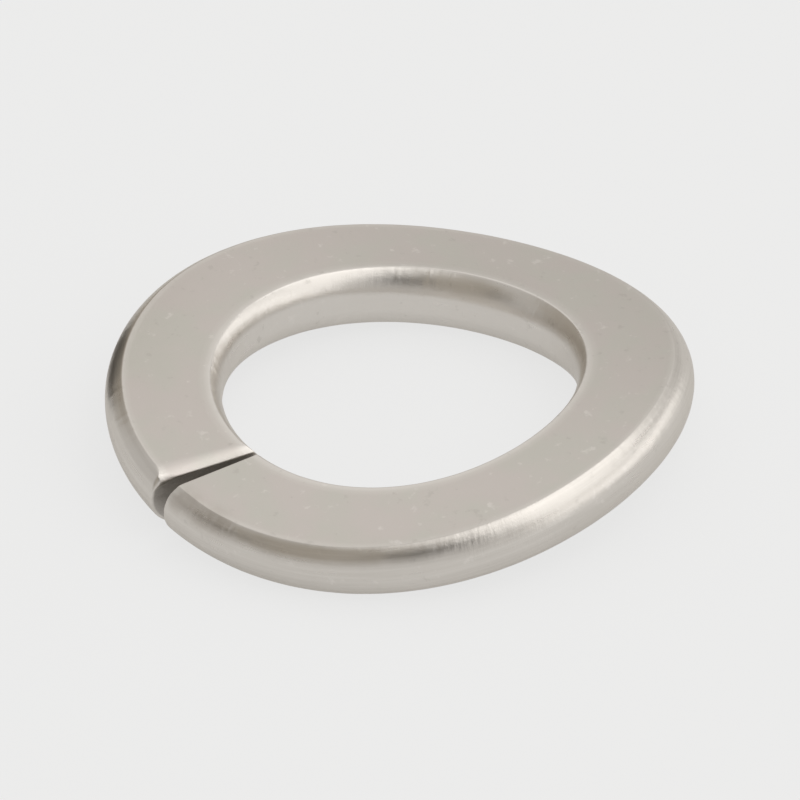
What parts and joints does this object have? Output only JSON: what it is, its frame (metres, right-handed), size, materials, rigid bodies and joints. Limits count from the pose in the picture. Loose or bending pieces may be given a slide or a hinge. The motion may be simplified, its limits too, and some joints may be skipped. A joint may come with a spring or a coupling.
{
  "type": "wave washer",
  "caption": "Split spring lock washer of flat, round-edged strip, pressed into a gentle wave that flattens when the screw is tightened.",
  "frame": {"origin": "on the bore's axis, on the flat surface that the washer's two troughs rest on", "axes": "+Z along the bore, up from the surface it rests on; -Y towards the split; +X to the right of the split"},
  "size_m": [0.0174, 0.0174, 0.003],
  "materials": {
    "spring_steel": "satin, tumbled and passivated stainless steel"
  },
  "bodies": {
    "root": {"wave_washer": "spring_steel"}
  },
  "joints": []
}
